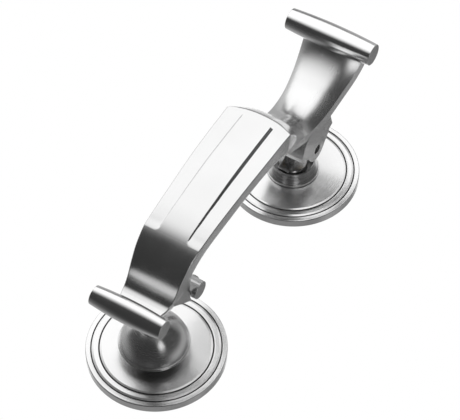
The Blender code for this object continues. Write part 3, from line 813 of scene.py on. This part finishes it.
class Sky:
    """Builds the studio round the object out of soft-edged patches of light, each placed by azimuth
    (0 in front of the door, positive towards +X) and elevation, in degrees."""

    def __init__(self, tree):
        self.tree = tree
        self.place = tree.nodes.new("ShaderNodeTexCoord").outputs["Generated"]
        rise = math_node(tree, "ARCSINE", self.split(self.place)["Z"])
        self.elevation = math_node(tree, "MULTIPLY", rise, 180 / math.pi)
        self.total = None

    def split(self, vector):
        node = self.tree.nodes.new("ShaderNodeSeparateXYZ")
        self.tree.links.new(vector, node.inputs["Vector"])
        return node.outputs

    def from_azimuth(self, centre):
        """Angle from this azimuth, 0 to 180."""
        turn = self.tree.nodes.new("ShaderNodeMapping")
        turn.inputs["Rotation"].default_value = (0, 0, -math.radians(centre))
        self.tree.links.new(self.place, turn.inputs["Vector"])
        axes = self.split(turn.outputs["Vector"])
        front = math_node(self.tree, "MULTIPLY", axes["Y"], -1.0)
        angle = math_node(self.tree, "ARCTAN2", axes["X"], front)
        return math_node(self.tree, "ABSOLUTE", math_node(self.tree, "MULTIPLY", angle, 180 / math.pi))

    def patch(self, strength, centre, half, soft, low, low_soft, high=None, high_soft=10.0):
        """Light over half degrees each side of an azimuth, fading in above low and out above high."""
        tree = self.tree
        side = smooth_ramp(tree, self.from_azimuth(centre), half + soft / 2, half - soft / 2)
        shape = math_node(tree, "MULTIPLY", side, smooth_ramp(tree, self.elevation, low, low + low_soft))
        if high is not None:
            top = smooth_ramp(tree, self.elevation, high + high_soft, high)
            shape = math_node(tree, "MULTIPLY", shape, top)
        light = math_node(tree, "MULTIPLY", shape, strength)
        self.total = light if self.total is None else math_node(tree, "MAXIMUM", self.total, light)


AMBIENT = 0.042
# (strength, azimuth, half width, its fade, low edge, its fade, high edge, its fade)
PATCHES = [
    (0.50, -85, 9, 8, -22, 22, 62, 10),         # strip at the left
    (0.36, -140, 54, 26, -75, 70),              # pale wall behind, on the left
    (1.05, -162, 24, 14, -4, 18, 48, 12),       # lamp behind, seen in the neck
    (0.36, 119, 26, 10, -30, 35),               # pale wall behind, on the right
    (0.11, 160, 16, 10, -30, 35),
    (0.22, 165, 30, 16, -75, 40, 5, 20),        # low glow behind
    (0.45, -60, 110, 30, 62, 14),               # ceiling
    (0.20, 90, 60, 30, 44, 25),
]


def add_world():
    """White to the eye and on the floor; the metal mirrors pale walls behind, a dim ceiling and dark
    gaps."""
    world = bpy.data.worlds.new("studio")
    bpy.context.scene.world = world
    world.use_nodes = True
    tree = world.node_tree
    background = tree.nodes["Background"]
    sky = Sky(tree)
    for values in PATCHES:
        sky.patch(*values)
    light = math_node(tree, "ADD", sky.total, AMBIENT)
    path = tree.nodes.new("ShaderNodeLightPath")
    blend = tree.nodes.new("ShaderNodeMix")
    blend.data_type = "FLOAT"
    blend.inputs["A"].default_value = 1.0
    tree.links.new(path.outputs["Is Glossy Ray"], blend.inputs["Factor"])
    tree.links.new(light, blend.inputs["B"])
    tree.links.new(blend.outputs["Result"], background.inputs["Color"])


def add_softbox(name, centre, facing, width, height, strength, fade_x, fade_low, fade_high):
    """Glowing sheet that only reflections see. Its light falls off over the given distances inside its
    edges."""
    w, h = width / 2, height / 2
    sheet = add_sheet(name, w, h)
    forward = (Vector(facing) - Vector(centre)).normalized()
    right = Vector((0, 0, 1)).cross(forward).normalized()
    turn = Matrix((right, forward.cross(right), forward)).transposed().to_4x4()
    sheet.matrix_world = Matrix.Translation(centre) @ turn
    mat = bpy.data.materials.new(name)
    mat.use_nodes = True
    tree = mat.node_tree
    tree.nodes.remove(tree.nodes["Principled BSDF"])
    glow = tree.nodes.new("ShaderNodeEmission")
    place = tree.nodes.new("ShaderNodeTexCoord")
    split = tree.nodes.new("ShaderNodeSeparateXYZ")
    tree.links.new(place.outputs["Object"], split.inputs["Vector"])
    x, y = split.outputs["X"], split.outputs["Y"]
    light = smooth_ramp(tree, x, -w, -w + fade_x)
    for axis, start, end in ((x, w, w - fade_x), (y, -h, -h + fade_low), (y, h, h - fade_high)):
        light = math_node(tree, "MULTIPLY", light, smooth_ramp(tree, axis, start, end))
    tree.links.new(math_node(tree, "MULTIPLY", light, strength), glow.inputs["Strength"])
    clear = tree.nodes.new("ShaderNodeBsdfTransparent")
    joined = tree.nodes.new("ShaderNodeAddShader")
    tree.links.new(glow.outputs["Emission"], joined.inputs[0])
    tree.links.new(clear.outputs["BSDF"], joined.inputs[1])
    tree.links.new(joined.outputs["Shader"], tree.nodes["Material Output"].inputs["Surface"])
    sheet.data.materials.append(mat)
    sheet.visible_camera = False
    sheet.visible_diffuse = False
    sheet.visible_shadow = False


def add_lights():
    add_softbox("front_softbox", (-0.42, -0.30, 0.19), facing=(-0.42, 0.0, 0.19), width=1.09, height=0.82,
                strength=1.15, fade_x=0.05, fade_low=0.207, fade_high=0.15)
    add_softbox("low_softbox", (0.24, -0.24, -0.245), facing=(0.0, -0.03, -0.06), width=0.17, height=0.15,
                strength=1.2, fade_x=0.04, fade_low=0.04, fade_high=0.04)


CAMERA_PLACE = (0.30841, -0.78634, -0.55385)
CAMERA_AIM = (-0.01638, 0.00351, -0.03361)
CAMERA_ROLL = 37.8992


def add_camera():
    """Looks up at the object from its lower right, rolled so that the object leans across the picture."""
    lens = bpy.data.cameras.new("camera")
    lens.lens = 156.52
    lens.sensor_width = 36.0
    camera = bpy.data.objects.new("camera", lens)
    view = (Vector(CAMERA_AIM) - Vector(CAMERA_PLACE)).normalized()
    level = view.cross(Vector((0, 0, 1))).normalized()
    right = Matrix.Rotation(math.radians(CAMERA_ROLL), 3, -view) @ level
    turn = Matrix((right, right.cross(view), -view)).transposed().to_4x4()
    camera.matrix_world = Matrix.Translation(CAMERA_PLACE) @ turn
    bpy.context.scene.collection.objects.link(camera)
    bpy.context.scene.camera = camera


add_floor()
add_world()
add_lights()
add_camera()
bpy.context.scene.view_settings.view_transform = "Standard"
